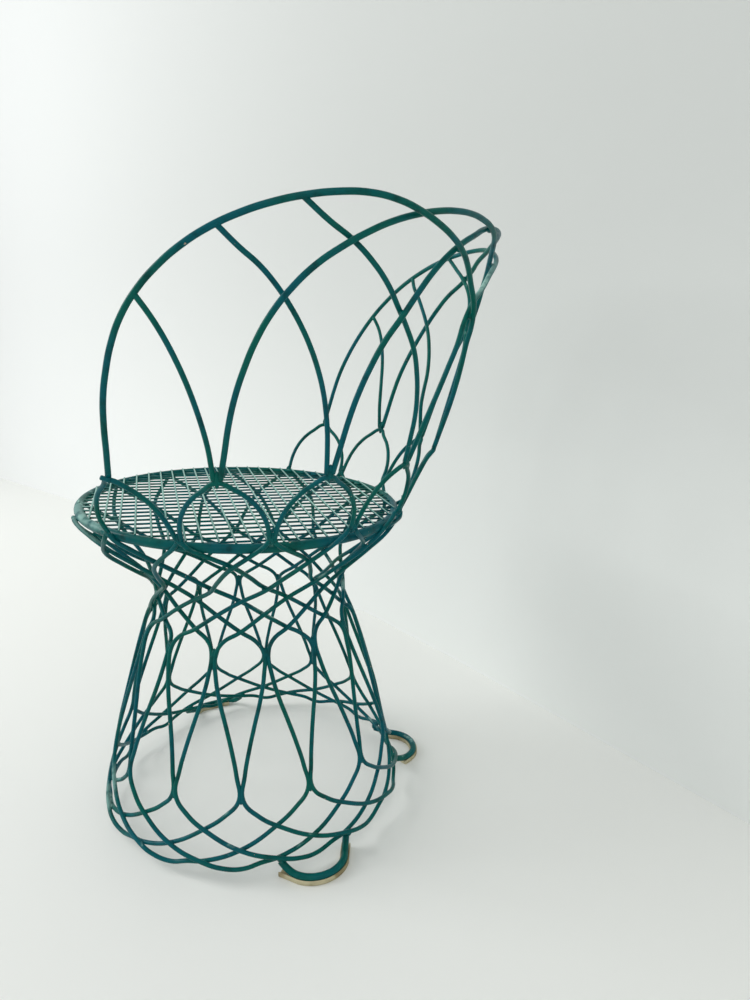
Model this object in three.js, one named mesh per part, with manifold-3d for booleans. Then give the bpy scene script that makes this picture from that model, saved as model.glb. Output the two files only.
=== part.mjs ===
// A tub chair of bent steel rod, all welded, with a square wire mesh seat.
// Millimetres, Z up. The back of the chair faces +Y and the open front faces -Y.
import * as THREE from "three";
import Module from "manifold-3d";

const wasm = await Module();
wasm.setup();

// Counts around the chair
const REPEATS = 14;
const SMALL_ARCHES = 8;
const PITCH = (2 * Math.PI) / REPEATS;

// Rod and tube radii
const BASE_ROD_RADIUS = 2.8;
const SMALL_ARCH_RADIUS = 2.8;
const PARTIAL_ROD_RADIUS = 2.8;
const BACK_ARCH_RADIUS = 3.2;
const RIM_TUBE_RADIUS = 6;
const FOOT_ROD_RADIUS = 4.6;
const WELD_GAP = 0.3;

// Facets around each rod and steps along it
const ROD_SIDES = 6;
const RIM_SIDES = 8;
const FOOT_SIDES = 8;
const BASE_STEP_LENGTH = 58;
const SMALL_ARCH_STEPS = 10;
const BACK_ARCH_STEPS = 30;
const PARTIAL_ROD_STEPS = 12;
const RIM_STEPS = 48;
const FOOT_STEPS = 12;
const FINE_STEPS = 96;

// Seat ring and mesh
const RIM_RADIUS = 215;
const RIM_HEIGHT = 441;
const SEAT_LEAN = 0.05;
const SEAT_FORWARD = 4.8;
const MESH_LAP = 4;
const MESH_RADIUS = RIM_RADIUS + MESH_LAP;
const MESH_PITCH = 27;
const MESH_WIRE = 3;
const MESH_TURN_DEGREES = -50.8;
const QUARTER_TURN = 90;
const MESH_OUTLINE_STEPS = 48;

// A rod that meets the rim from outside runs at this radius.
const RIM_SEAT_RADIUS = RIM_RADIUS + RIM_TUBE_RADIUS + BASE_ROD_RADIUS + WELD_GAP;

// Widest radius of the base near the floor, a little inside the rods at the rim
const BASE_TUCK = 7;
const BASE_RADIUS = RIM_SEAT_RADIUS - BASE_TUCK;

// Half of one base rod, from the middle of its bottom arc up to the rim.
// Each row: pitches around from the middle, share of the radius there, share of the rim's height.
const BASE_ROD_SHARES = [
  [0, 0.9789, 0.038],
  [0.25, 0.9952, 0.0496],
  [0.5, 0.9949, 0.061],
  [1, 0.9697, 0.0932],
  [1.5, 0.9376, 0.1498],
  [1.76, 0.925, 0.1855],
  [2, 0.914, 0.2329],
  [1.94, 0.8749, 0.3009],
  [1.77, 0.792, 0.4351],
  [1.57, 0.7144, 0.5673],
  [1.5, 0.6692, 0.6266],
  [1.66, 0.6288, 0.6545],
  [2, 0.6123, 0.6836],
  [2.5, 0.6005, 0.7315],
  [3, 0.5966, 0.7767],
  [3.5, 0.6563, 0.8215],
  [4, 0.9208, 0.9286],
  [4.27, 0.9847, 0.9721],
  [4.42, 1.0135, 0.9973],
  [4.5, 1.0163, 1.0125],
];
const LOWER_CONTACT_ROW = 6;
const UPPER_CONTACT_ROW = 10;
const LAST_CROSSING_ROW = 16;
const ROD_END_BACKOFF = 2.7;

// The ends of the base rods are moved in or out until they rest against the rim.
const RIM_CLEARANCE = RIM_TUBE_RADIUS + BASE_ROD_RADIUS + WELD_GAP;
const RIM_REACH = 8;
const END_BLEND_HEIGHT = 18;
const CHECKS_PER_STEP = 6;

// Small arches that stand at the rim. Each row: share of half a pitch,
// share of the radius at the rim, share of the arch's rise above its legs.
const LEG_ABOVE_RIM = 8.7;
const SMALL_ARCH_RISE = 72;
const LEG_OFFSET = 2.92;
const LEG_OUTSET = 1.5;
const SMALL_ARCH_SHARES = [
  [0.86, 1.0745, 0.3258],
  [0.7, 1.104, 0.5579],
  [0.5, 1.1291, 0.7429],
  [0.3, 1.1464, 0.8615],
  [0.15, 1.16, 0.9386],
  [0, 1.1822, 1],
];
const CREST_SHARE = SMALL_ARCH_SHARES[SMALL_ARCH_SHARES.length - 1][1];
const CREST_OUTSET = 0.5;
const CREST_ALLOWANCE = 0.6;
const BACK_ROD_FOOT_RADIUS = CREST_SHARE * RIM_SEAT_RADIUS + CREST_OUTSET;
const SMALL_ARCH_LEG_HEIGHT = RIM_HEIGHT + LEG_ABOVE_RIM;
const SMALL_ARCH_CREST = SMALL_ARCH_LEG_HEIGHT + SMALL_ARCH_RISE + SMALL_ARCH_RADIUS - CREST_ALLOWANCE;
const ARCH_FOOT_OFFSET = 3.6;
const PARTIAL_FOOT_OFFSET = 3.5;

// Rods of the right half of the back, as points between their ends.
// Each point: shares of the rim's radius along X and Y, and share of the back's rise above the rim.
const BACK_RISE = 351.7;
const SIDE_ARCH_SHARES = [
  [1.3407, 0.1138, 0.5035], [1.396, 0.3145, 0.7161], [1.3407, 0.5996, 0.8731], [1.1882, 0.9469, 0.9701],
  [0.9655, 1.286, 0.9969], [0.6301, 1.4692, 0.9465], [0.2465, 1.5098, 0.8528], [-0.0368, 1.4591, 0.6896],
  [-0.1894, 1.3474, 0.4641],
];
const MIDDLE_ARCH_SHARES = [
  [1.145, 0.6809, 0.4898], [1.1463, 0.8836, 0.7073], [1.0113, 1.1346, 0.8697], [0.7317, 1.3833, 0.9652],
  [0.3645, 1.5365, 0.9999], [-0.0437, 1.5588, 0.9792], [-0.424, 1.4752, 0.8873],
  [-0.6652, 1.314, 0.7229], [-0.7566, 1.1268, 0.495],
];
const PARTIAL_ROD_SHARES = [
  [[1.1409, 0.5135, 0.3345], [1.195, 0.5053, 0.4373], [1.2658, 0.4888, 0.5433], [1.3382, 0.449, 0.6487],
   [1.398, 0.3737, 0.7488]],
  [[0.7762, 0.9594, 0.3716], [0.8768, 0.9757, 0.5241], [0.9866, 0.9358, 0.6712],
   [1.1031, 0.8333, 0.8068], [1.2842, 0.6995, 0.9101]],
  [[0.3409, 1.2766, 0.4246], [0.5169, 1.3163, 0.6053], [0.7551, 1.2916, 0.7609], [0.9937, 1.191, 0.8922],
   [1.1886, 0.9855, 0.9833]],
];

// Where two back rods cross, one is bent out and the other in.
const SETTLE_PASSES = 12;
const SETTLE_GAP = 0.8;
const CROSSING_FALLOFF = 42;
const JOINT_FREE_LENGTH = 45;
const CROSSING_SEARCH = 9;
const PLATEAU_LIMIT = 55;

// Feet: half rings on the floor, each on a glide strip
const FOOT_PLACES = [1.5, -1.54, -5.43];
const FOOT_RING_RADIUS = 42;
// For each foot: how far its ring's centre lies inside the base radius, how far the ring
// reaches outwards and sidewise, and its bend, from 1, round, down to flat with tight corners.
const FOOT_INSET_SHARES = [0.326, -0.01, -0.005];
const FOOT_OUT_SHARES = [1, 1, 0.5];
const FOOT_ACROSS_SHARES = [1, 0.98, 0.86];
const FOOT_BEND_SHARES = [1, 1, 0.5];
// How far each foot's ends lie inside the base radius
const FOOT_END_INSET_SHARES = [0.12, 0.102, -0.05];
const FOOT_END_HEIGHT_SHARE = 0.054;
const FOOT_END_HEIGHT = FOOT_END_HEIGHT_SHARE * RIM_HEIGHT;
const SEATING_STEP = 0.1;
const SEATING_ALLOWANCE = 0.5;
const FOOT_END_TURN_SHARE = 0.5;
// Each row: share of a quarter turn, rise as a share of the foot rod's radius.
const FOOT_RING_SHARES = [
  [-0.76, 0.15], [-0.5, 0], [-0.25, 0], [0, 0], [0.25, 0], [0.5, 0], [0.76, 0.15],
];
// The strip is a channel: its floor lies under the rod and its walls hold the rod's sides.
const GLIDE_FLOOR = 3.4;
const GLIDE_HEIGHT = 6.8;
const GLIDE_WIDTH = 12;
const GLIDE_ROOM = 0.4;
const GROOVE_TURNS_DEGREES = [60, 30, 0, -30, -60];
// How much of each foot's rod sticks out past the strip at either end
const GLIDE_BARE_SHARES = [0, 0.167, 0.25];

const PAINT = 0x0f6f6a;
const PAINT_ROUGHNESS = 0.32;
const PAINT_METALNESS = 0.1;
const GLIDE_COLOUR = 0xb9a57f;
const GLIDE_ROUGHNESS = 0.7;

function at(radius, angle, height) {
  return new THREE.Vector3(radius * Math.sin(angle), radius * Math.cos(angle), height);
}

function mirror(points) {
  return points.map((point) => new THREE.Vector3(-point.x, point.y, point.z));
}

function runningLengths(points) {
  const lengths = [0];
  for (let i = 1; i < points.length; i += 1) {
    lengths.push(lengths[i - 1] + points[i].distanceTo(points[i - 1]));
  }
  return lengths;
}

// Slopes of a curve that never overshoots its own rows.
function monotoneSlopes(knots, values) {
  const last = knots.length - 1;
  const secants = [];
  for (let i = 0; i < last; i += 1) {
    secants.push((values[i + 1] - values[i]) / (knots[i + 1] - knots[i]));
  }
  const slopes = [secants[0]];
  for (let i = 1; i < last; i += 1) {
    const sameWay = secants[i - 1] * secants[i] > 0;
    slopes.push(sameWay ? 2 / (1 / secants[i - 1] + 1 / secants[i]) : 0);
  }
  slopes.push(secants[last - 1]);
  return slopes;
}

function monotoneValue(knots, values, slopes, knot) {
  let i = 0;
  while (i < knots.length - 2 && knot > knots[i + 1]) {
    i += 1;
  }
  const width = knots[i + 1] - knots[i];
  const u = (knot - knots[i]) / width;
  const rise = values[i + 1] - values[i];
  const hump = slopes[i] * width * u * (1 - u) ** 2 - slopes[i + 1] * width * u * u * (1 - u);
  return values[i] + rise * u * u * (3 - 2 * u) + hump;
}

// Even samples of a polyline
function evenSamples(points, steps) {
  const lengths = runningLengths(points);
  const total = lengths[lengths.length - 1];
  const samples = [];
  let i = 0;
  for (let k = 0; k <= steps; k += 1) {
    const goal = (total * k) / steps;
    while (i < points.length - 2 && goal > lengths[i + 1]) {
      i += 1;
    }
    const share = (goal - lengths[i]) / (lengths[i + 1] - lengths[i]);
    samples.push(points[i].clone().lerp(points[i + 1], share));
  }
  return samples;
}

function smoothThrough(controls, steps) {
  const curve = new THREE.CatmullRomCurve3(controls, false, "centripetal");
  return curve.getSpacedPoints(steps);
}

function tangentAt(points, index, closed) {
  const count = points.length;
  const before = closed ? points[(index + count - 1) % count] : points[Math.max(index - 1, 0)];
  const after = closed ? points[(index + 1) % count] : points[Math.min(index + 1, count - 1)];
  return after.clone().sub(before).normalize();
}

// One closed tube along points: rings of corners carried along without twist.
function rod(points, radius, sides, closed = false) {
  const positions = [];
  const faces = [];
  const first = tangentAt(points, 0, closed);
  let normal = new THREE.Vector3(-first.y, first.x, first.z * 0.31 + 0.17);
  points.forEach((point, ring) => {
    const tangent = tangentAt(points, ring, closed);
    normal = normal.addScaledVector(tangent, -normal.dot(tangent)).normalize();
    const across = tangent.clone().cross(normal);
    for (let side = 0; side < sides; side += 1) {
      const turn = (2 * Math.PI * side) / sides;
      const corner = point.clone()
        .addScaledVector(normal, radius * Math.cos(turn))
        .addScaledVector(across, radius * Math.sin(turn));
      positions.push(corner.x, corner.y, corner.z);
    }
  });
  const links = closed ? points.length : points.length - 1;
  for (let ring = 0; ring < links; ring += 1) {
    const next = (ring + 1) % points.length;
    for (let side = 0; side < sides; side += 1) {
      const beside = (side + 1) % sides;
      const a = ring * sides + side;
      const b = ring * sides + beside;
      const c = next * sides + beside;
      const d = next * sides + side;
      faces.push(a, b, c, a, c, d);
    }
  }
  if (!closed) {
    const end = (points.length - 1) * sides;
    for (let side = 1; side < sides - 1; side += 1) {
      faces.push(0, side + 1, side, end, end + side, end + side + 1);
    }
  }
  const geometry = new THREE.BufferGeometry();
  geometry.setAttribute("position", new THREE.Float32BufferAttribute(positions, 3));
  geometry.setIndex(faces);
  geometry.computeVertexNormals();
  return geometry;
}

// Base rods cross in two layers: outside on one half, inside on the other.
function layerSign(row) {
  if (row === 0 || row === LOWER_CONTACT_ROW || row === UPPER_CONTACT_ROW) {
    return 0;
  }
  if (row < LOWER_CONTACT_ROW) {
    return 1;
  }
  if (row < UPPER_CONTACT_ROW || row > LAST_CROSSING_ROW + 1) {
    return 0;
  }
  return row > LAST_CROSSING_ROW ? -1 / 2 : -1;
}

// The rows of a base rod as pitches, radius and height
function baseRodRows() {
  return BASE_ROD_SHARES.map(([pitches, radiusShare, heightShare]) => {
    const size = THREE.MathUtils.lerp(BASE_RADIUS, RIM_SEAT_RADIUS, heightShare);
    return [pitches, radiusShare * size, heightShare * RIM_HEIGHT];
  });
}

function baseHalfControls(side) {
  const layer = BASE_ROD_RADIUS + WELD_GAP / 2;
  const rows = baseRodRows();
  const last = rows.length - 1;
  return rows.map(([pitches, radius, height], row) => {
    const before = rows[Math.max(row - 1, 0)];
    const after = rows[Math.min(row + 1, last)];
    const rise = new THREE.Vector2(after[1] - before[1], after[2] - before[2]).normalize();
    const shift = layer * layerSign(row) * side;
    let aside = 0;
    if (row === LOWER_CONTACT_ROW) {
      aside = -layer;
    }
    if (row === UPPER_CONTACT_ROW) {
      aside = layer;
    }
    if (row === last) {
      aside = -ROD_END_BACKOFF;
    }
    const newRadius = radius + rise.y * shift;
    return {
      turn: side * (pitches * PITCH + aside / newRadius),
      radius: newRadius,
      height: height - rise.x * shift,
    };
  });
}

function baseRodPoints(middleAngle) {
  const left = baseHalfControls(-1).slice(1).reverse();
  const controls = left.concat(baseHalfControls(1));
  const rough = controls.map((row) => at(row.radius, row.turn, row.height));
  const knots = runningLengths(rough);
  const fields = ["turn", "radius", "height"];
  const values = fields.map((field) => controls.map((row) => row[field]));
  const slopes = values.map((column) => monotoneSlopes(knots, column));
  return knotSteps(knots).map((knot) => {
    const row = values.map((column, i) => monotoneValue(knots, column, slopes[i], knot));
    const [turn, radius, height] = row;
    return at(radius, middleAngle + turn, height);
  });
}

// Every knot, with even steps between knots that lie far apart
function knotSteps(knots) {
  const steps = [knots[0]];
  for (let i = 1; i < knots.length; i += 1) {
    const width = knots[i] - knots[i - 1];
    const count = Math.ceil(width / BASE_STEP_LENGTH);
    for (let k = 1; k <= count; k += 1) {
      steps.push(knots[i - 1] + (width * k) / count);
    }
  }
  return steps;
}

function distanceToRim(point) {
  const place = point.clone().sub(new THREE.Vector3(0, -SEAT_FORWARD, RIM_HEIGHT));
  place.applyAxisAngle(new THREE.Vector3(1, 0, 0), Math.atan(SEAT_LEAN));
  return Math.hypot(Math.hypot(place.x, place.y) - RIM_RADIUS, place.z);
}

// Moves the top of a base rod, given from its end downwards, until it rests against the rim.
function restOnRim(points) {
  const crossingHeight = baseRodRows()[LAST_CROSSING_ROW][2];
  const top = points.slice(0, points.findIndex((point) => point.z < crossingHeight));
  const moved = (shift) => top.map((point) => {
    const weight = THREE.MathUtils.smoothstep(point.z, crossingHeight, crossingHeight + END_BLEND_HEIGHT);
    const outward = new THREE.Vector3(point.x, point.y, 0).normalize();
    return point.clone().addScaledVector(outward, shift * weight);
  });
  const clears = (places) => {
    const checks = evenSamples(places, places.length * CHECKS_PER_STEP);
    return checks.every((place) => distanceToRim(place) >= RIM_CLEARANCE);
  };
  let shift = -RIM_REACH;
  while (shift < RIM_REACH && !clears(moved(shift))) {
    shift += SEATING_STEP;
  }
  moved(shift).forEach((place, i) => top[i].copy(place));
}

function smallArchPoints(index, jointRadii) {
  const middleAngle = topAngle(index);
  const halfPitch = PITCH / 2;
  const leg = (side) => {
    const joint = Math.round(middleAngle / PITCH + side / 2);
    const radius = jointRadii[(joint + REPEATS) % REPEATS] + LEG_OUTSET;
    const angle = middleAngle + side * (halfPitch - LEG_OFFSET / radius);
    return at(radius, angle, SMALL_ARCH_LEG_HEIGHT);
  };
  const row = ([share, radiusShare, riseShare], side) => {
    const height = SMALL_ARCH_LEG_HEIGHT + riseShare * SMALL_ARCH_RISE;
    return at(radiusShare * RIM_SEAT_RADIUS, middleAngle + side * share * halfPitch, height);
  };
  const left = SMALL_ARCH_SHARES.map((entry) => row(entry, -1));
  const right = SMALL_ARCH_SHARES.slice(0, -1).reverse().map((entry) => row(entry, 1));
  return smoothThrough([leg(-1), ...left, ...right, leg(1)], SMALL_ARCH_STEPS);
}

function topAngle(index) {
  return ((SMALL_ARCHES - 1) / 2 - index) * PITCH;
}

// The end of a back rod on top of a small arch, raised a little more the more it slants
function backRodFoot(index, offset, radius, next) {
  const angle = topAngle(index) + offset / BACK_ROD_FOOT_RADIUS;
  const crest = at(BACK_ROD_FOOT_RADIUS, angle, SMALL_ARCH_CREST);
  const way = next.clone().sub(crest).normalize();
  const slant = Math.hypot(way.x, way.y);
  return crest.setZ(crest.z + WELD_GAP + radius * slant);
}

function toBackPoints(rows) {
  return rows.map(([x, y, rise]) => {
    return new THREE.Vector3(x * RIM_RADIUS, y * RIM_RADIUS, RIM_HEIGHT + rise * BACK_RISE);
  });
}

// The ten rods of the back before they settle, each with its layer and its end joints.
function backRods() {
  const rods = [];
  const addPair = (names, radius, layers, controls, joints) => {
    const points = smoothThrough(controls, FINE_STEPS);
    const swapped = joints.map((joint) => (joint === null ? null : SMALL_ARCHES - 1 - joint));
    rods.push({ name: names[0], radius, layer: layers[0], points, joints });
    rods.push({ name: names[1], radius, layer: layers[1], points: mirror(points), joints: swapped });
  };
  const arch = (rows, start, startOffset, end, endOffset) => {
    const inner = toBackPoints(rows);
    const first = backRodFoot(start, startOffset, BACK_ARCH_RADIUS, inner[0]);
    const last = backRodFoot(end, endOffset, BACK_ARCH_RADIUS, inner[inner.length - 1]);
    return [first, ...inner, last];
  };
  const sideArch = arch(SIDE_ARCH_SHARES, 0, 0, 4, ARCH_FOOT_OFFSET);
  addPair(["back_arch_outer_right", "back_arch_outer_left"], BACK_ARCH_RADIUS, [9, 8], sideArch, [0, 4]);
  const middleArch = arch(MIDDLE_ARCH_SHARES, 1, -ARCH_FOOT_OFFSET, 5, ARCH_FOOT_OFFSET);
  addPair(["back_arch_inner_right", "back_arch_inner_left"], BACK_ARCH_RADIUS, [7, 6], middleArch, [1, 5]);
  PARTIAL_ROD_SHARES.forEach((rows, i) => {
    const inner = toBackPoints(rows);
    const first = backRodFoot(i + 1, PARTIAL_FOOT_OFFSET, PARTIAL_ROD_RADIUS, inner[0]);
    const names = [`back_rod_right_${i + 1}`, `back_rod_left_${i + 1}`];
    addPair(names, PARTIAL_ROD_RADIUS, [2 * i + 1, 2 * i], [first, ...inner], [i + 1, null]);
  });
  return rods;
}

function closestIndex(points, target) {
  let best = 0;
  points.forEach((point, i) => {
    if (point.distanceToSquared(target) < points[best].distanceToSquared(target)) {
      best = i;
    }
  });
  return best;
}

function nearOwnEnd(points, index) {
  const fromStart = points[index].distanceTo(points[0]);
  const fromEnd = points[index].distanceTo(points[points.length - 1]);
  return Math.min(fromStart, fromEnd) < JOINT_FREE_LENGTH;
}

// Places where two rods come nearest, as pairs of sample numbers
function crossings(first, second) {
  const nearest = first.points.map((point) => closestIndex(second.points, point));
  const gaps = first.points.map((point, i) => point.distanceTo(second.points[nearest[i]]));
  const found = [];
  for (let i = 1; i < gaps.length - 1; i += 1) {
    const isLow = gaps[i] <= gaps[i - 1] && gaps[i] < gaps[i + 1] && gaps[i] < CROSSING_SEARCH + CROSSING_SEARCH;
    if (isLow && !nearOwnEnd(first.points, i) && !nearOwnEnd(second.points, nearest[i])) {
      found.push([i, nearest[i]]);
    }
  }
  return found;
}

function bump(distance, plateau) {
  return 1 - THREE.MathUtils.smoothstep(distance, plateau, plateau + CROSSING_FALLOFF);
}

function pushAlong(points, index, direction, amount, plateau) {
  const lengths = runningLengths(points);
  const total = lengths[lengths.length - 1];
  points.forEach((point, i) => {
    const fromEnds = Math.min(lengths[i], total - lengths[i]);
    const held = THREE.MathUtils.smoothstep(fromEnds, 0, JOINT_FREE_LENGTH);
    const weight = bump(Math.abs(lengths[i] - lengths[index]), plateau) * held;
    point.addScaledVector(direction, amount * weight);
  });
}

function separate(outer, inner, outerIndex, innerIndex) {
  const outerWay = tangentAt(outer.points, outerIndex, false);
  const innerWay = tangentAt(inner.points, innerIndex, false);
  const cross = outerWay.clone().cross(innerWay);
  const sine = cross.length();
  const direction = cross.normalize();
  const place = outer.points[outerIndex];
  const outward = new THREE.Vector3(place.x, place.y, 0);
  if (direction.dot(outward) < 0) {
    direction.negate();
  }
  const need = outer.radius + inner.radius + SETTLE_GAP;
  const height = place.clone().sub(inner.points[innerIndex]).dot(direction);
  if (height >= need) {
    return;
  }
  const amount = (need - height) / 2;
  const plateau = Math.min(need / Math.max(sine, 0.1), PLATEAU_LIMIT);
  pushAlong(outer.points, outerIndex, direction, amount, plateau);
  pushAlong(inner.points, innerIndex, direction, -amount, plateau);
}

function settle(rods) {
  for (let pass = 0; pass < SETTLE_PASSES; pass += 1) {
    for (let i = 0; i < rods.length; i += 1) {
      for (let j = i + 1; j < rods.length; j += 1) {
        const [outer, inner] = rods[i].layer > rods[j].layer ? [rods[i], rods[j]] : [rods[j], rods[i]];
        crossings(outer, inner).forEach(([a, b]) => separate(outer, inner, a, b));
      }
    }
  }
}

function distanceToPath(point, path) {
  const nearest = new THREE.Vector3();
  let best = Infinity;
  for (let i = 1; i < path.length; i += 1) {
    new THREE.Line3(path[i - 1], path[i]).closestPointToPoint(point, true, nearest);
    best = Math.min(best, nearest.distanceTo(point));
  }
  return best;
}

// A partial rod stops where it meets the outer arch.
function trimToClear(points, other, clearance) {
  const kept = evenSamples(points, FINE_STEPS * 2);
  const blocked = (point) => distanceToPath(point, other) < clearance;
  while (kept.length > 2 && blocked(kept[kept.length - 1])) {
    kept.pop();
  }
  return kept;
}

// Lowers the end of a foot loop until it just clears the base rods above it.
function seatUnder(end, paths) {
  const clearance = BASE_ROD_RADIUS + FOOT_ROD_RADIUS - SEATING_ALLOWANCE;
  while (paths.some((path) => distanceToPath(end, path) < clearance)) {
    end.z -= SEATING_STEP;
  }
  return end;
}

function footPoints(index, paths) {
  const middleAngle = FOOT_PLACES[index] * PITCH;
  const middle = GLIDE_FLOOR + WELD_GAP + FOOT_ROD_RADIUS;
  const endRadius = BASE_RADIUS - FOOT_END_INSET_SHARES[index] * FOOT_RING_RADIUS;
  const ring = FOOT_RING_SHARES.map(([turnShare, riseShare]) => {
    const turn = turnShare * THREE.MathUtils.degToRad(QUARTER_TURN);
    return footPlace(index, turn, middle + riseShare * FOOT_ROD_RADIUS);
  });
  const ends = [-1, 1].map((side) => {
    const angle = (Math.round(FOOT_PLACES[index] - 0.5) + 0.5 + side * FOOT_END_TURN_SHARE) * PITCH;
    return seatUnder(at(endRadius, angle, FOOT_END_HEIGHT), paths);
  });
  return smoothThrough([ends[0], ...ring, ends[1]], FOOT_STEPS);
}

// A place on a foot's half ring
function footPlace(index, turn, height) {
  const middleAngle = FOOT_PLACES[index] * PITCH;
  const out = at(1, middleAngle, 0);
  const across = at(1, middleAngle + Math.PI / 2, 0);
  const bend = FOOT_BEND_SHARES[index];
  const centre = BASE_RADIUS - FOOT_INSET_SHARES[index] * FOOT_RING_RADIUS;
  const reach = FOOT_OUT_SHARES[index] * FOOT_RING_RADIUS;
  const halfWidth = FOOT_ACROSS_SHARES[index] * FOOT_RING_RADIUS;
  const sine = Math.sin(turn);
  return out.clone().multiplyScalar(centre + reach * Math.cos(turn) ** bend)
    .addScaledVector(across, halfWidth * Math.sign(sine) * Math.abs(sine) ** bend)
    .setZ(height);
}

// Half widths and heights round the strip's cross section
function glideProfile() {
  const half = GLIDE_WIDTH / 2;
  const grooveRadius = FOOT_ROD_RADIUS + GLIDE_ROOM;
  const rodHeight = GLIDE_FLOOR + WELD_GAP + FOOT_ROD_RADIUS;
  const lip = Math.sqrt(grooveRadius ** 2 - (rodHeight - GLIDE_HEIGHT) ** 2);
  const groove = GROOVE_TURNS_DEGREES.map((degrees) => {
    const turn = THREE.MathUtils.degToRad(degrees);
    return [grooveRadius * Math.sin(turn), rodHeight - grooveRadius * Math.cos(turn)];
  });
  const corners = [[-half, 0], [half, 0], [half, GLIDE_HEIGHT], [lip, GLIDE_HEIGHT], ...groove,
    [-lip, GLIDE_HEIGHT], [-half, GLIDE_HEIGHT]];
  return corners.map(([across, height]) => new THREE.Vector2(across, height));
}

function glideGeometry(index, points) {
  const bare = Math.round(GLIDE_BARE_SHARES[index] * FOOT_STEPS);
  const line = points.slice(bare, points.length - bare).map((point) => point.clone().setZ(0));
  const profile = glideProfile();
  const count = profile.length;
  const positions = [];
  const faces = [];
  line.forEach((point, ring) => {
    const tangent = tangentAt(line, ring, false);
    profile.forEach(({ x, y }) => positions.push(point.x - tangent.y * x, point.y + tangent.x * x, y));
    for (let side = 0; side < count && ring > 0; side += 1) {
      const beside = (side + 1) % count;
      const [a, b] = [(ring - 1) * count + side, (ring - 1) * count + beside];
      faces.push(a, b, b + count, a, b + count, a + count);
    }
  });
  const end = (line.length - 1) * count;
  THREE.ShapeUtils.triangulateShape(profile, []).forEach(([a, b, c]) => {
    faces.push(a, c, b, end + a, end + b, end + c);
  });
  const geometry = new THREE.BufferGeometry();
  geometry.setAttribute("position", new THREE.Float32BufferAttribute(positions, 3));
  geometry.setIndex(faces);
  geometry.computeVertexNormals();
  return geometry;
}

function rimGeometry() {
  const points = [];
  for (let k = 0; k < RIM_STEPS; k += 1) {
    points.push(at(RIM_RADIUS, (-2 * Math.PI * k) / RIM_STEPS, 0));
  }
  return seated(rod(points, RIM_TUBE_RADIUS, RIM_SIDES, true));
}

// Puts a flat seat piece in its leaning place.
function seated(geometry) {
  geometry.rotateX(-Math.atan(SEAT_LEAN));
  geometry.translate(0, -SEAT_FORWARD, RIM_HEIGHT);
  return geometry;
}

// The welded mesh: two rows of crossing wires, cut to a circle, whose ends lie on the rim
function meshGeometry() {
  const wires = [];
  const reach = Math.floor(MESH_RADIUS / MESH_PITCH);
  for (let i = -reach; i <= reach; i += 1) {
    const wire = wasm.CrossSection.square([2 * MESH_RADIUS, MESH_WIRE], true).translate([0, i * MESH_PITCH]);
    wires.push(wire, wire.rotate(QUARTER_TURN));
  }
  const disc = wasm.CrossSection.circle(MESH_RADIUS, MESH_OUTLINE_STEPS);
  const net = wasm.CrossSection.union(wires).intersect(disc).rotate(MESH_TURN_DEGREES);
  const solid = net.extrude(MESH_WIRE).translate([0, 0, RIM_TUBE_RADIUS + WELD_GAP]);
  return seated(geometryOf(solid));
}

function geometryOf(solid) {
  const mesh = solid.getMesh();
  const geometry = new THREE.BufferGeometry();
  geometry.setAttribute("position", new THREE.BufferAttribute(mesh.vertProperties, mesh.numProp));
  geometry.setIndex(new THREE.BufferAttribute(mesh.triVerts, 1));
  geometry.computeVertexNormals();
  return geometry;
}

function addPart(chair, name, geometry, colour, roughness, metalness) {
  const material = new THREE.MeshStandardMaterial({ color: colour, roughness, metalness });
  material.name = name;
  const mesh = new THREE.Mesh(geometry, material);
  mesh.name = name;
  chair.add(mesh);
}

function addPainted(chair, name, geometry) {
  addPart(chair, name, geometry, PAINT, PAINT_ROUGHNESS, PAINT_METALNESS);
}

function twoDigits(number) {
  return String(number).padStart(2, "0");
}

function addBase(chair, paths) {
  paths.forEach((points, i) => {
    addPainted(chair, `base_rod_${twoDigits(i + 1)}`, rod(points, BASE_ROD_RADIUS, ROD_SIDES));
  });
}

function addSeat(chair) {
  addPainted(chair, "seat_rim", rimGeometry());
  addPainted(chair, "seat_mesh", meshGeometry());
}

// How far from the middle the two base rods end at each joint
function jointRadiiOf(paths) {
  const radii = new Array(REPEATS).fill(0);
  paths.forEach((path) => {
    [path[0], path[path.length - 1]].forEach((end) => {
      const joint = Math.round(Math.atan2(end.x, end.y) / PITCH);
      radii[(joint + REPEATS) % REPEATS] += Math.hypot(end.x, end.y) / 2;
    });
  });
  return radii;
}

function addBack(chair, paths) {
  const jointRadii = jointRadiiOf(paths);
  for (let i = 0; i < SMALL_ARCHES; i += 1) {
    const points = smallArchPoints(i, jointRadii);
    addPainted(chair, `small_arch_${i + 1}`, rod(points, SMALL_ARCH_RADIUS, ROD_SIDES));
  }
  const rods = backRods();
  settle(rods);
  const outerArches = rods.slice(0, 2);
  rods.forEach((entry, i) => {
    const partial = entry.joints[1] === null;
    const clearance = BACK_ARCH_RADIUS + entry.radius + WELD_GAP;
    const points = partial ? trimToClear(entry.points, outerArches[i % 2].points, clearance) : entry.points;
    const steps = partial ? PARTIAL_ROD_STEPS : BACK_ARCH_STEPS;
    addPainted(chair, entry.name, rod(evenSamples(points, steps), entry.radius, ROD_SIDES));
  });
}

function addFeet(chair, paths) {
  FOOT_PLACES.forEach((_, i) => {
    const points = footPoints(i, paths);
    addPainted(chair, `foot_loop_${i + 1}`, rod(points, FOOT_ROD_RADIUS, FOOT_SIDES));
    addPart(chair, `foot_glide_${i + 1}`, glideGeometry(i, points), GLIDE_COLOUR, GLIDE_ROUGHNESS, 0);
  });
}

// Moves every piece so that the chair stands on the floor, centred on the origin.
function centreOnFloor(chair) {
  const box = new THREE.Box3().setFromObject(chair);
  const middle = box.getCenter(new THREE.Vector3());
  chair.children.forEach((mesh) => mesh.geometry.translate(-middle.x, -middle.y, -box.min.z));
}

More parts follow.
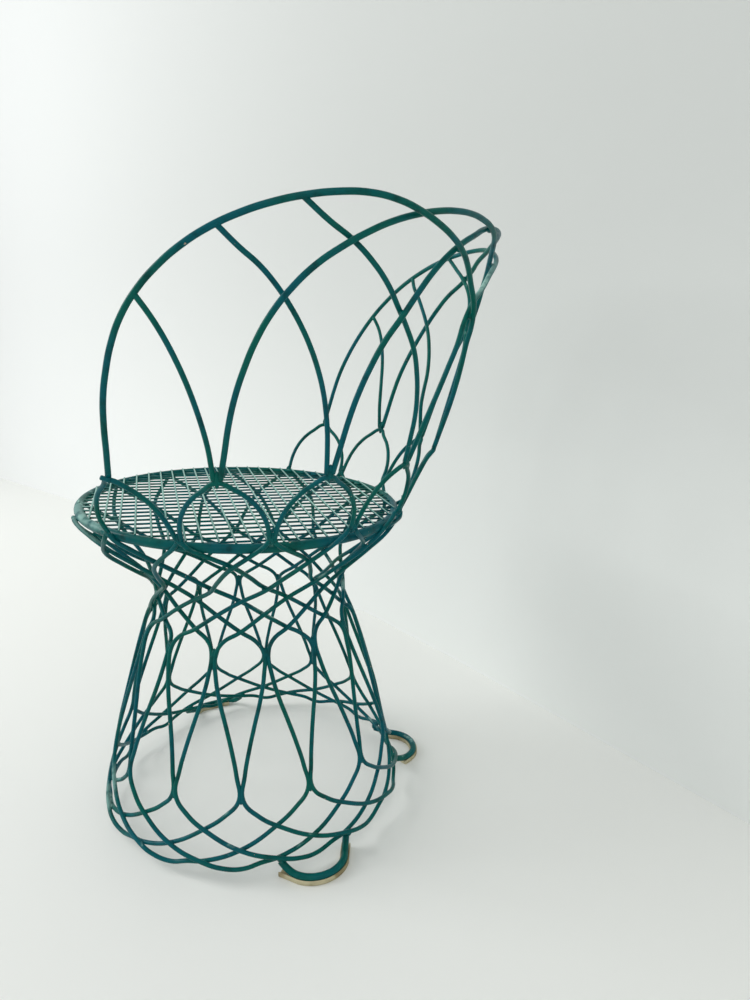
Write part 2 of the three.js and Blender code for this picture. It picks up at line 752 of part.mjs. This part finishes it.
const chair = new THREE.Group();
chair.name = "rod_tub_chair";
const basePaths = [];
for (let i = 0; i < REPEATS; i += 1) {
  const path = baseRodPoints((i + 0.5) * PITCH);
  restOnRim(path);
  restOnRim(path.slice().reverse());
  basePaths.push(path);
}
addBase(chair, basePaths);
addSeat(chair);
addBack(chair, basePaths);
addFeet(chair, basePaths);
centreOnFloor(chair);

export default chair;
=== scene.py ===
import bisect
import math

import bmesh
import bpy
from mathutils import Matrix, Vector
from mathutils.kdtree import KDTree


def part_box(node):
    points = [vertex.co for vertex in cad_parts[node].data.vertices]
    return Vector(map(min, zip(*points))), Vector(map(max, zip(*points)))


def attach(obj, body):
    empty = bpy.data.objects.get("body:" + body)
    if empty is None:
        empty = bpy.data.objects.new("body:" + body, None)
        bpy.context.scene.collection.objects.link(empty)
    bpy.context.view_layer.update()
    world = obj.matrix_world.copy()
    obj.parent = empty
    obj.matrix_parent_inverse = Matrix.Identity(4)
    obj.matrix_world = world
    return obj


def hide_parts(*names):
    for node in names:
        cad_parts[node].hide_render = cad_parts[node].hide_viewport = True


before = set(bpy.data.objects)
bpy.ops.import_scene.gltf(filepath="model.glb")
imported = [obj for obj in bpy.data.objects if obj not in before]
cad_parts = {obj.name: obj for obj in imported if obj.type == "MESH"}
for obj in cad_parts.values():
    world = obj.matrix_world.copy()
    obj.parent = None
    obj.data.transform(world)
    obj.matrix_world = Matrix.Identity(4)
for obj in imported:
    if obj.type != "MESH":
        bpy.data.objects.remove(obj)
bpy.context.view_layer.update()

millimetre = 0.001

cameraView = {
    "place": (0.8201, 0.45342, 0.66191),
    "forward": (-0.910279, -0.348022, -0.224219),
    "up": (-0.208633, -0.082164, 0.974536),
    "lens": 24.667,
    "sensorHeight": 36.0,
    "clipStart": 0.01,
}


def makeCamera(view):
    data = bpy.data.cameras.new("camera")
    data.sensor_fit = "VERTICAL"
    data.sensor_height = view["sensorHeight"]
    data.lens = view["lens"]
    data.clip_start = view["clipStart"]
    camera = bpy.data.objects.new("camera", data)
    back = -Vector(view["forward"]).normalized()
    right = Vector(view["up"]).cross(back).normalized()
    turn = Matrix((right, back.cross(right), back)).transposed()
    camera.matrix_world = Matrix.Translation(view["place"]) @ turn.to_4x4()
    bpy.context.collection.objects.link(camera)
    bpy.context.scene.camera = camera


makeCamera(cameraView)
print("camera placed")


# where a mix node keeps its factor, its two colours and its mixed colour
mixSockets = {"factor": 0, "first": 6, "second": 7, "result": 2}


class Signal:
    # a node's output, so that maths on masks reads as plain expressions
    def __init__(self, shader, socket):
        self.shader = shader
        self.socket = socket

    def combine(self, other, operation, swapped=False):
        first, second = (other, self) if swapped else (self, other)
        return self.shader.node("ShaderNodeMath", {"operation": operation}, {0: first, 1: second})

    def __add__(self, other):
        return self.combine(other, "ADD")

    def __radd__(self, other):
        return self.combine(other, "ADD", swapped=True)

    def __sub__(self, other):
        return self.combine(other, "SUBTRACT")

    def __rsub__(self, other):
        return self.combine(other, "SUBTRACT", swapped=True)

    def __mul__(self, other):
        return self.combine(other, "MULTIPLY")

    def __rmul__(self, other):
        return self.combine(other, "MULTIPLY", swapped=True)


class Shader:
    def __init__(self, name):
        self.material = bpy.data.materials.new(name)
        self.material.use_nodes = True
        self.nodes = self.material.node_tree.nodes
        self.links = self.material.node_tree.links
        self.surface = self.nodes["Principled BSDF"]

    def feed(self, socket, value):
        if isinstance(value, Signal):
            self.links.new(value.socket, socket)
        else:
            socket.default_value = value

    def node(self, kind, settings=None, values=None, output=0):
        item = self.nodes.new(kind)
        for name, value in (settings or {}).items():
            setattr(item, name, value)
        for key, value in (values or {}).items():
            self.feed(item.inputs[key], value)
        return Signal(self, item.outputs[output])

    def coordinates(self, output="Object"):
        return self.node("ShaderNodeTexCoord", output=output)

    def noise(self, plan):
        # a plan holds the scale, the detail and the roughness of the noise
        values = dict(zip(("Scale", "Detail", "Roughness"), plan))
        return self.node("ShaderNodeTexNoise", None, {"Vector": self.coordinates(), **values})

    def ramp(self, value, limits):
        # 0 at the first limit, 1 at the second
        settings = {"interpolation_type": "SMOOTHSTEP"}
        values = {"Value": value, "From Min": limits[0], "From Max": limits[1]}
        return self.node("ShaderNodeMapRange", settings, values)

    def mixColour(self, factor, first, second):
        values = {
            mixSockets["factor"]: factor,
            mixSockets["first"]: first,
            mixSockets["second"]: second,
        }
        settings = {"data_type": "RGBA"}
        return self.node("ShaderNodeMix", settings, values, output=mixSockets["result"])

    def part(self, axis, output="Object"):
        # the X, Y or Z part of a place or a direction
        values = {"Vector": self.coordinates(output)}
        return self.node("ShaderNodeSeparateXYZ", None, values, output=axis)

    def near(self, places, core):
        # full within a share of the reach of any of the places, none beyond the reach
        total = 0.0
        for middle, reach in places:
            values = {0: self.coordinates(), 1: middle}
            settings = {"operation": "DISTANCE"}
            gap = self.node("ShaderNodeVectorMath", settings, values, output="Value")
            total = total + self.ramp(gap, (reach, reach * core))
        return total

    def bump(self, height, strength, distance):
        values = {"Height": height, "Strength": strength, "Distance": distance}
        return self.node("ShaderNodeBump", None, values)

    def finish(self, **sockets):
        for name, value in sockets.items():
            self.feed(self.surface.inputs[name], value)
        return self.material


def sRgb(red, green, blue):
    # a colour as seen on screen, 0 to 255, turned into the linear values that sockets take
    def linear(level):
        level /= 255
        return level / 12.92 if level <= 0.04045 else ((level + 0.055) / 1.055) ** 2.4

    return (linear(red), linear(green), linear(blue), 1.0)


enamel = {
    "green": sRgb(0, 90, 80),
    "blue": sRgb(0, 86, 96),
    "deep": sRgb(0, 46, 46),
    "highlightAndWear": sRgb(150, 190, 180),
    "primer": sRgb(176, 158, 140),
    "roughness": 0.28,
    "streakRoughness": 0.14,
    "highlightAndWearRoughness": 0.25,
    "chipRoughness": 0.3,
    "shine": 0.08,
    "coat": 0.06,
    "coatLost": 0.05,
    "coatRoughness": 0.06,
    # the shade drifts slowly from green to blue, with finer dark streaks
    "driftNoise": (11.0, 3.0, 0.5),
    "driftLimits": (0.36, 0.66),
    "streakNoise": (66.0, 4.0, 0.6),
    "streakLimits": (0.45, 0.8),
    "streakDepth": 0.7,
    # painted highlight: pale patches on the sides that face up, standing in for glints of the lamp
    "highlightPatchNoise": (26.0, 4.0, 0.62),
    "skyLimits": (0.25, 0.95),
    # middles and reaches of the places where the paint is pale: partly real wear from handling,
    # partly painted highlight, as on the top of the back arches
    "wearAndHighlightPlaces": (
        ((0.161, -0.211, 0.4515), 0.06),
        ((0.198, -0.155, 0.449), 0.05),
        ((0.1574, -0.010, 0.3698), 0.012),
        ((0.0635, 0.0889, 0.3686), 0.013),
        ((0.1671, -0.0809, 0.3733), 0.016),
        ((0.1143, -0.1414, 0.3586), 0.016),
        ((-0.0508, 0.074, 0.3156), 0.014),
        ((0.1644, -0.1864, 0.0683), 0.03),
        ((0.1607, -0.2071, 0.031), 0.035),
        ((-0.05, 0.262, 0.745), 0.07),
        ((-0.0309, 0.2686, 0.7281), 0.02),
    ),
    "wearAndHighlightCore": 0.4,
    "wearAndHighlightDepth": 0.5,
    "wearAndHighlightNoise": (78.0, 3.0, 0.5),
    "wearAndHighlightLimits": (0.3, 0.55),
    "wearAndHighlightSkyLimits": (-0.3, 0.6),
    # small chips down to the primer, in groups
    "chipNoise": (240.0, 2.0, 0.4),
    "chipLimits": (0.735, 0.75),
    "groupNoise": (18.2, 1.0, 0.5),
    "groupLimits": (0.56, 0.66),
    # the skin of the paint
    "peelNoise": (900.0, 1.0, 0.5),
    "streakHeight": 0.4,
    "chipDepth": 1.2,
    "bumpStrength": 0.35,
    "bumpDistance": 0.4 * millimetre,
}
# where the painted highlight patches begin and are full, and how much painted highlight lies on
# every side that faces up
highlightPlans = {
    "enamel": ((0.6, 0.76), 0.0),
    "wireEnamel": ((0.5, 0.7), 0.0),
    "highlitWireEnamel": ((0.3, 0.6), 0.7),
}


def enamelMaterial(name):
    highlightLimits, highlightEverywhere = highlightPlans[name]
    shader = Shader(name)
    drift = shader.ramp(shader.noise(enamel["driftNoise"]), enamel["driftLimits"])
    colour = shader.mixColour(drift, enamel["green"], enamel["blue"])
    streak = shader.noise(enamel["streakNoise"])
    dark = shader.ramp(streak, enamel["streakLimits"]) * enamel["streakDepth"]
    colour = shader.mixColour(dark, colour, enamel["deep"])

    patches = shader.ramp(shader.noise(enamel["highlightPatchNoise"]), highlightLimits)
    upward = shader.part("Z", "Normal")
    sky = shader.ramp(upward, enamel["skyLimits"])
    rubbedAndHighlit = shader.near(enamel["wearAndHighlightPlaces"], enamel["wearAndHighlightCore"])
    rubbedAndHighlit = rubbedAndHighlit * shader.ramp(shader.noise(enamel["wearAndHighlightNoise"]), enamel["wearAndHighlightLimits"])
    # painted highlight: the pale places are stronger on the sides that face up
    rubbedAndHighlit = rubbedAndHighlit * shader.ramp(upward, enamel["wearAndHighlightSkyLimits"])
    # painted highlight on the sides that face up, plus the pale places that are partly real wear
    # and partly painted highlight
    highlightAndWear = patches * sky + highlightEverywhere * sky + enamel["wearAndHighlightDepth"] * rubbedAndHighlit
    highlightAndWear = highlightAndWear.combine(1.0, "MINIMUM")
    colour = shader.mixColour(highlightAndWear, colour, enamel["highlightAndWear"])

    chips = shader.ramp(shader.noise(enamel["chipNoise"]), enamel["chipLimits"])
    chips = chips * shader.ramp(shader.noise(enamel["groupNoise"]), enamel["groupLimits"])
    colour = shader.mixColour(chips, colour, enamel["primer"])

    dull = enamel["streakRoughness"] * streak + enamel["highlightAndWearRoughness"] * highlightAndWear
    relief = shader.noise(enamel["peelNoise"]) + enamel["streakHeight"] * streak
    relief = relief - enamel["chipDepth"] * chips
    return shader.finish(
        **{
            "Base Color": colour,
            "Roughness": enamel["roughness"] + dull + enamel["chipRoughness"] * chips,
            "Specular IOR Level": enamel["shine"],
            "Coat Weight": enamel["coat"] - enamel["coatLost"] * highlightAndWear,
            "Coat Roughness": enamel["coatRoughness"],
            "Normal": shader.bump(relief, enamel["bumpStrength"], enamel["bumpDistance"]),
        }
    )


glidePlastic = {
    "pale": sRgb(192, 184, 150),
    "brown": sRgb(138, 124, 88),
    "roughness": 0.55,
    "scuffRoughness": 0.3,
    "scuffNoise": (160.0, 4.0, 0.6),
    "stainNoise": (38.0, 3.0, 0.5),
    "stainLimits": (0.42, 0.68),
    "bumpStrength": 0.4,
    "bumpDistance": 0.5 * millimetre,
}


def glideMaterial():
    shader = Shader("glidePlastic")
    scuff = shader.noise(glidePlastic["scuffNoise"])
    stain = shader.ramp(shader.noise(glidePlastic["stainNoise"]), glidePlastic["stainLimits"])
    relief = shader.bump(scuff, glidePlastic["bumpStrength"], glidePlastic["bumpDistance"])
    return shader.finish(
        **{
            "Base Color": shader.mixColour(stain, glidePlastic["pale"], glidePlastic["brown"]),
            "Roughness": glidePlastic["roughness"] + glidePlastic["scuffRoughness"] * scuff,
            "Normal": relief,
        }
    )


paint = enamelMaterial("enamel")
wirePaint = enamelMaterial("wireEnamel")
highlitWirePaint = enamelMaterial("highlitWireEnamel")
glidePaint = glideMaterial()
print("materials ready")


def addObject(name, mesh, material):
    mesh.materials.clear()
    mesh.materials.append(material)
    for face in mesh.polygons:
        face.use_smooth = True
    item = bpy.data.objects.new(name, mesh)
    bpy.context.collection.objects.link(item)
    return item


def addPiece(name, mesh, material):
    piece = addObject(name, mesh, material)
    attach(piece, "root")
    return piece


# how many pieces there are of each kind
counts = {"baseRods": 14, "smallArches": 8, "shortRods": 3, "feet": 3}

rodSizes = {
    "baseRadius": 2.8 * millimetre,
    "smallArchRadius": 2.8 * millimetre,
    "shortRadius": 2.8 * millimetre,
    "backArchRadius": 3.2 * millimetre,
    "footRadius": 4.6 * millimetre,
    "longestRingEdge": 4.4 * millimetre,
    "mergeDistance": 0.01 * millimetre,
    "roundness": 4,
    "stepsPerKnot": 6,
    # how far each bend of a base rod goes towards an even distance from the axis of the base
    "ease": 0.4,
    "baseAxis": -56.362 * millimetre,
    "drawIn": (0.998, 0.998, 0.9997),
    "sample": 2.0 * millimetre,
}


def numbers(kind):
    return range(1, counts[kind] + 1)


def ringOf(start, limit):
    # the corners joined to this one by short edges make one ring of the rod
    ring = [start]
    for vertex in ring:
        for edge in vertex.link_edges:
            other = edge.other_vert(vertex)
            if other not in ring and edge.calc_length() < limit:
                ring.append(other)
    return ring


def centreLine(node):
    # middles of a CAD rod's rings, in order from one end to the other
    work = bmesh.new()
    work.from_mesh(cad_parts[node].data)
    bmesh.ops.remove_doubles(work, verts=work.verts, dist=rodSizes["mergeDistance"])
    owner, rings = {}, []
    for vertex in work.verts:
        if vertex not in owner:
            ring = ringOf(vertex, rodSizes["longestRingEdge"])
            owner.update((corner, len(rings)) for corner in ring)
            rings.append(sum((corner.co for corner in ring), Vector()) / len(ring))
    beside = [set() for _ in rings]
    for edge in work.edges:
        a, b = (owner[corner] for corner in edge.verts)
        if a != b:
            beside[a].add(b)
            beside[b].add(a)
    work.free()
    order = [next(i for i, near in enumerate(beside) if len(near) == 1)]
    while len(order) < len(rings):
        order.append(next(i for i in beside[order[-1]] if i not in order[-2:]))
    return [rings[i] for i in order]


def tubeMesh(name, points, radius, closed=False):
    curve = bpy.data.curves.new(name, "CURVE")
    curve.dimensions = "3D"
    curve.bevel_depth = radius
    curve.bevel_resolution = rodSizes["roundness"]
    curve.resolution_u = rodSizes["stepsPerKnot"]
    curve.use_fill_caps = not closed
    spline = curve.splines.new("BEZIER")
    spline.bezier_points.add(len(points) - 1)
    spline.use_cyclic_u = closed
    for knot, place in zip(spline.bezier_points, points):
        knot.co = place
        knot.handle_left_type = knot.handle_right_type = "AUTO"
    holder = bpy.data.objects.new(name, curve)
    bpy.context.collection.objects.link(holder)
    bpy.context.view_layer.update()
    evaluated = holder.evaluated_get(bpy.context.evaluated_depsgraph_get())
    mesh = bpy.data.meshes.new_from_object(evaluated)
    bpy.data.objects.remove(holder)
    work = bmesh.new()
    work.from_mesh(mesh)
    bmesh.ops.remove_doubles(work, verts=work.verts, dist=rodSizes["mergeDistance"])
    bmesh.ops.recalc_face_normals(work, faces=work.faces)
    work.to_mesh(mesh)
    work.free()
    mesh.name = name
    return mesh


# the line and the radius of every rod, by the name of its piece
routes = {}


def denseRoute(points):
    dense = []
    for first, second in zip(points, points[1:]):
        steps = max(1, int((second - first).length / rodSizes["sample"]))
        dense.extend(first.lerp(second, k / steps) for k in range(steps))
    return dense + [points[-1]]


def eased(points, share):
    # evens out how far a base rod stands from the middle of the base, with both ends kept
    middle = Vector((0, rodSizes["baseAxis"], 0))
    arms = [Vector((point.x, point.y - middle.y, 0)) for point in points]
    lengths = [arm.length for arm in arms]
    even = [b + ((a + c) / 2 - b) * share for a, b, c in zip(lengths, lengths[1:], lengths[2:])]
    even = [lengths[0]] + even + [lengths[-1]]
    flat = [middle + arm.normalized() * length for arm, length in zip(arms, even)]
    return [Vector((place.x, place.y, point.z)) for place, point in zip(flat, points)]


def reachArch(points, arches):
    # the upper end of a short rod runs on under the arch that it is welded to
    upwards = points if points[-1].z > points[0].z else points[::-1]
    kept = upwards[:-1]
    aim = kept[-1] + (kept[-1] - kept[-2]).normalized() * (upwards[-1] - kept[-1]).length
    places = [place for arch in arches for place in denseRoute(routes[arch][0])]
    return kept + [min(places, key=lambda place: (place - aim).length)]


def addRod(node, name, radius, arches=()):
    # the tube is rounder than the CAD rod, so its line is drawn in a little to keep the same box
    draw = Matrix.Diagonal(rodSizes["drawIn"])
    points = [draw @ point for point in centreLine(node)]
    if name.startswith("baseRod"):
        points = eased(points, rodSizes["ease"])
    if arches:
        points = reachArch(points, arches)
    piece = addPiece(name, tubeMesh(name, points, radius), paint)
    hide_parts(node)
    routes[name] = (points, radius)


for number in numbers("baseRods"):
    addRod(f"base_rod_{number:02d}", f"baseRod{number:02d}", rodSizes["baseRadius"])
print("base rods bent")
for number in numbers("smallArches"):
    addRod(f"small_arch_{number}", f"smallArch{number}", rodSizes["smallArchRadius"])
for layer in ("outer", "inner"):
    for side in ("right", "left"):
        name = f"{layer}Arch{side.capitalize()}"
        addRod(f"back_arch_{layer}_{side}", name, rodSizes["backArchRadius"])
outerArches = ("outerArchRight", "outerArchLeft")
for side in ("right", "left"):
    for number in numbers("shortRods"):
        name = f"backRod{side.capitalize()}{number}"
        addRod(f"back_rod_{side}_{number}", name, rodSizes["shortRadius"], outerArches)
print("back rods bent")
for number in numbers("feet"):
    addRod(f"foot_loop_{number}", f"footLoop{number}", rodSizes["footRadius"])
print("feet bent")


rim = {
    "radius": 215 * millimetre,
    "tube": 6.0 * millimetre,
    "lean": 0.05,
    "knots": 32,
}
rimLow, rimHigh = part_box("seat_rim")
seatCentre = (rimLow + rimHigh) / 2
seatTurn = Matrix.Rotation(-math.atan(rim["lean"]), 4, "X")
seatPlace = Matrix.Translation(seatCentre) @ seatTurn


def rimPoints():
    # even places along the middle of the rim's rod
    turns = [2 * math.pi * k / rim["knots"] for k in range(rim["knots"])]
    flat = [rim["radius"] * Vector((math.cos(turn), math.sin(turn), 0)) for turn in turns]
    return [seatPlace @ place for place in flat]


rimRoute = rimPoints()
rimMesh = tubeMesh("seatRim", rimRoute, rim["tube"], closed=True)
rimPiece = addPiece("seatRim", rimMesh, paint)
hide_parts("seat_rim")
routes["seatRim"] = (rimRoute + rimRoute[:1], rim["tube"])
print("rim rolled")


wireMesh = {
    "pitch": 17.95 * millimetre,
    "wire": 1.35 * millimetre,
    # how far the lower wires turn from the X axis, in degrees
    "turn": -50.8,
    "lower": {"reach": 211 * millimetre, "height": 3.4 * millimetre, "sidewise": False},
    "upper": {"reach": 215.5 * millimetre, "height": 6.1 * millimetre, "sidewise": True},
    "sides": 8,
}


def meshFrom(work, name):
    mesh = bpy.data.meshes.new(name)
    work.to_mesh(mesh)
    work.free()
    return mesh


def wireRow(layer):
    # one layer of parallel wires, each a closed round bar
    work = bmesh.new()
    count = int(layer["reach"] / wireMesh["pitch"])
    quarter = math.pi / 2
    turn = math.radians(wireMesh["turn"]) + (quarter if layer["sidewise"] else 0.0)
    lie = Matrix.Rotation(quarter, 4, "Y")
    for i in range(-count, count + 1):
        offset = i * wireMesh["pitch"]
        half = math.sqrt(layer["reach"] ** 2 - offset**2)
        place = Matrix.Translation((0, offset, layer["height"])) @ lie
        bmesh.ops.create_cone(
            work,
            cap_ends=True,
            segments=wireMesh["sides"],
            radius1=wireMesh["wire"],
            radius2=wireMesh["wire"],
            depth=2 * half,
            matrix=seatPlace @ Matrix.Rotation(turn, 4, "Z") @ place,
        )
    return meshFrom(work, "wires")


lowerWires = addPiece("lowerSeatWires", wireRow(wireMesh["lower"]), wirePaint)
# painted highlight: the upper wires are painted pale on every side that faces up
addPiece("upperSeatWires", wireRow(wireMesh["upper"]), highlitWirePaint)
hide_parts("seat_mesh")
print("seat mesh laid")


cutEnds = {
    "radius": 2.8 * millimetre,
    # from the rod to the tip of each cut end
    "lines": (
        ((0.2665, -0.0530, 0.5215), (0.2678, -0.0632, 0.5240)),
    ),
}


def addCutEnds():
    # short ends of rod left standing where a back rod was cut at the crest of a small arch
    for number, line in enumerate(cutEnds["lines"], 1):
        name = f"cutEnd{number}"
        mesh = tubeMesh(name, [Vector(end) for end in line], cutEnds["radius"])
        addPiece(name, mesh, paint)


addCutEnds()


welds = {
    # rods closer than this are welded
    "reach": 1.6 * millimetre,
    "fat": 1.04,
    "thickest": 3.2 * millimetre,
    # a bead is longer where two rods cross at a small angle
    "lengthShare": 1.1,
    "leastSine": 0.05,
    "shortest": 3.4 * millimetre,
    "longest": 11.0 * millimetre,
    "leastApart": 12.0 * millimetre,
    "footReach": 15.0 * millimetre,
    "footThick": 4.4 * millimetre,
    "footOverlap": 0.6,
    "roundness": 2,
}


def directionAt(points, index):
    before, after = points[max(index - 1, 0)], points[min(index + 1, len(points) - 1)]
    return (after - before).normalized()


def contacts(first, second):
    # places where two rods come nearest and touch
    (pathA, radiusA, _), (pathB, radiusB, tree) = first, second
    touch = radiusA + radiusB + welds["reach"]
    near = []
    for indexA, point in enumerate(pathA):
        _, indexB, gap = tree.find(point)
        if gap < touch:
            near.append((gap, indexB, indexA))
    kept = []
    for _, indexB, indexA in sorted(near):
        middle = (pathA[indexA] + pathB[indexB]) / 2
        if all((middle - other[0]).length > welds["leastApart"] for other in kept):
            kept.append((middle, directionAt(pathA, indexA), directionAt(pathB, indexB)))
    return kept


def bead(middle, along, thick, length):
    # places a ball of radius 1 as a bead lying along the given way
    turn = along.to_track_quat("Z", "Y").to_matrix().to_4x4()
    return Matrix.Translation(middle) @ turn @ Matrix.Diagonal((thick, thick, length, 1))


def crossingBead(middle, wayA, wayB, radius):
    if wayA.dot(wayB) < 0:
        wayB = -wayB
    sine = max(wayA.cross(wayB).length, welds["leastSine"])
    length = max(radius * welds["lengthShare"] / sine, welds["shortest"])
    along = (wayA + wayB).normalized()
    return bead(middle, along, radius * welds["fat"], min(length, welds["longest"]))


def footBeads(dense):
    # thick beads from each end of a foot to the base rods beside it
    thick = welds["footThick"]
    beads = []
    for number in numbers("feet"):
        path = dense[f"footLoop{number}"][0]
        for end in (path[0], path[-1]):
            for name in dense:
                found, _, gap = dense[name][2].find(end)
                if name.startswith("baseRod") and gap < welds["footReach"]:
                    length = gap / 2 + thick * welds["footOverlap"]
                    beads.append(bead((end + found) / 2, found - end, thick, length))
    return beads


def addWelds():
    dense = {}
    for name, (points, radius) in routes.items():
        path = denseRoute(points)
        tree = KDTree(len(path))
        for i, point in enumerate(path):
            tree.insert(point, i)
        tree.balance()
        dense[name] = (path, radius, tree)
    names = list(dense)
    beads = []
    for i, nameA in enumerate(names):
        for nameB in names[i + 1:]:
            radius = min((dense[nameA][1] + dense[nameB][1]) / 2, welds["thickest"])
            for middle, wayA, wayB in contacts(dense[nameA], dense[nameB]):
                beads.append(crossingBead(middle, wayA, wayB, radius))
    beads += footBeads(dense)
    work = bmesh.new()
    for place in beads:
        bmesh.ops.create_icosphere(work, subdivisions=welds["roundness"], radius=1.0, matrix=place)
    addPiece("weldBeads", meshFrom(work, "welds"), paint)


addWelds()
print("welds filled")


glides = {
    # for each foot, how much of its rod sticks out past the glide at either end
    "bare": (0.0, 0.167, 0.25),
    "steps": 48,
    # half a cross section of the channel in millimetres: distance from the rod's line, height
    "halfProfile": (
        (5.4, 0.0), (6.0, 0.6), (6.0, 6.3), (5.7, 6.8), (5.0, 6.8), (4.7, 6.4),
        (4.3, 5.8), (3.5, 4.7), (2.5, 3.95), (1.3, 3.45), (0.0, 3.3),
    ),
}


def hermite(start, end, tangents, share):
    square, cube = share**2, share**3
    place = (2 * cube - 3 * square + 1) * start + (3 * square - 2 * cube) * end
    return place + (cube - 2 * square + share) * tangents[0] + (cube - square) * tangents[1]


def smoothRoute(points, steps):
    # even places along a smooth curve through the points
    lengths = [0.0]
    for first, second in zip(points, points[1:]):
        lengths.append(lengths[-1] + (second - first).length)
    last = len(points) - 1
    route = []
    for k in range(steps + 1):
        goal = lengths[-1] * k / steps
        i = min(bisect.bisect_right(lengths, goal), last)
        share = (goal - lengths[i - 1]) / (lengths[i] - lengths[i - 1])
        before, start, end, after = (points[min(max(j, 0), last)] for j in (i - 2, i - 1, i, i + 1))
        route.append(hermite(start, end, ((end - before) / 2, (after - start) / 2), share))
    return route


def glideRing(point, ahead):
    # corners of the cross section at one place of the rod's line, right side first
    half = glides["halfProfile"]
    whole = half + tuple((-across, height) for across, height in half[-2::-1])
    side = Vector((-ahead.y, ahead.x, 0))
    steps = [side * across + Vector((0, 0, height)) for across, height in whole]
    return [point + step * millimetre for step in steps]


def addGlide(number, bareShare):
    points = [Vector((point.x, point.y, 0)) for point in routes[f"footLoop{number}"][0]]
    bare = round(bareShare * (len(points) - 1))
    line = smoothRoute(points[bare:len(points) - bare], glides["steps"])
    work = bmesh.new()
    loops = []
    for i, point in enumerate(line):
        ring = [work.verts.new(corner) for corner in glideRing(point, directionAt(line, i))]
        loops.append([work.edges.new(pair) for pair in zip(ring, ring[1:] + ring[:1])])
        if i in (0, len(line) - 1):
            work.faces.new(ring)
    for first, second in zip(loops, loops[1:]):
        bmesh.ops.bridge_loops(work, edges=first + second)
    bmesh.ops.recalc_face_normals(work, faces=work.faces)
    name = f"glide{number}"
    piece = addPiece(name, meshFrom(work, name), glidePaint)
    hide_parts(f"foot_glide_{number}")


for number, bareShare in enumerate(glides["bare"], 1):
    addGlide(number, bareShare)
print("glides fitted")


room = {
    "roughness": 0.75,
    # painted light: colours near the window and far from it, the floor painted a little lighter and
    # the wall darker away from it; the wall has one pair low down and one high up
    "floor": (sRgb(232, 233, 229), sRgb(235, 236, 232)),
    "floorLimits": (-1.2, 0.6),
    "wallLow": (sRgb(230, 232, 231), sRgb(231, 234, 231)),
    "wallHigh": (sRgb(214, 216, 215), sRgb(195, 198, 195)),
    "wallLimits": (-2.2, 0.4),
    "wallHeightLimits": (-0.1, 1.1),
    "floorSize": 9.0,
    "wallHeight": 3.4,
    # the foot of the wall, seen from above
    "wallLine": (
        (-2.9, -6.0), (-1.64, -2.48), (-1.39, -1.79), (-0.683, -0.148), (-0.514, 0.118),
        (-0.346, 0.367), (-0.153, 0.649), (0.35, 1.35), (1.5, 2.9),
    ),
}


def floorMaterial():
    shader = Shader("floorPaint")
    # painted light: the floor is painted a little lighter along Y, away from the window
    along = shader.ramp(shader.part("Y"), room["floorLimits"])
    colour = shader.mixColour(along, *room["floor"])
    return shader.finish(**{"Base Color": colour, "Roughness": room["roughness"]})


def wallMaterial():
    # painted shade: the wall's colour darkens away from the window and upwards
    shader = Shader("wallPaint")
    along = shader.ramp(shader.part("Y"), room["wallLimits"])
    upward = shader.ramp(shader.part("Z"), room["wallHeightLimits"])
    low = shader.mixColour(along, *room["wallLow"])
    high = shader.mixColour(along, *room["wallHigh"])
    colour = shader.mixColour(upward, low, high)
    # the sheet has a front only, so it doesn't hide the chair from behind
    backfacing = shader.node("ShaderNodeNewGeometry", output="Backfacing")
    return shader.finish(
        **{"Base Color": colour, "Roughness": room["roughness"], "Alpha": 1.0 - backfacing}
    )


def addStage(name, work, material):
    sheet = addObject(name, meshFrom(work, name), material)


def addFloor():
    work = bmesh.new()
    bmesh.ops.create_grid(work, x_segments=1, y_segments=1, size=room["floorSize"])
    addStage("floor", work, floorMaterial())


def addWall():
    work = bmesh.new()
    low = [work.verts.new((x, y, 0)) for x, y in room["wallLine"]]
    edges = [work.edges.new(pair) for pair in zip(low, low[1:])]
    raised = bmesh.ops.extrude_edge_only(work, edges=edges)["geom"]
    top = [item for item in raised if isinstance(item, bmesh.types.BMVert)]
    bmesh.ops.translate(work, verts=top, vec=(0, 0, room["wallHeight"]))
    work.normal_update()
    bmesh.ops.reverse_faces(work, faces=[face for face in work.faces if face.normal.x < 0])
    addStage("wall", work, wallMaterial())


addFloor()
addWall()

lights = {
    "worldColour": (0.93, 0.95, 0.96, 1.0),
    "worldStrength": 0.66,
    "aim": (0.0, 0.0, 0.4),
    "window": {"place": (1.0, -3.2, 2.3), "size": 1.8, "power": 80.0},
    "fill": {"place": (2.4, 1.2, 2.6), "size": 2.5, "power": 14.0},
}


def addLight(name):
    plan = lights[name]
    data = bpy.data.lights.new(name, "AREA")
    data.shape = "SQUARE"
    data.size = plan["size"]
    data.energy = plan["power"]
    lamp = bpy.data.objects.new(name, data)
    away = Vector(plan["place"]) - Vector(lights["aim"])
    turn = away.to_track_quat("Z", "Y").to_matrix().to_4x4()
    lamp.matrix_world = Matrix.Translation(plan["place"]) @ turn
    bpy.context.collection.objects.link(lamp)


def addWorld():
    world = bpy.data.worlds.new("studio")
    world.use_nodes = True
    background = world.node_tree.nodes["Background"]
    background.inputs["Color"].default_value = lights["worldColour"]
    background.inputs["Strength"].default_value = lights["worldStrength"]
    bpy.context.scene.world = world


addWorld()
addLight("window")
addLight("fill")
bpy.context.scene.view_settings.view_transform = "Standard"
print("room and lights set")
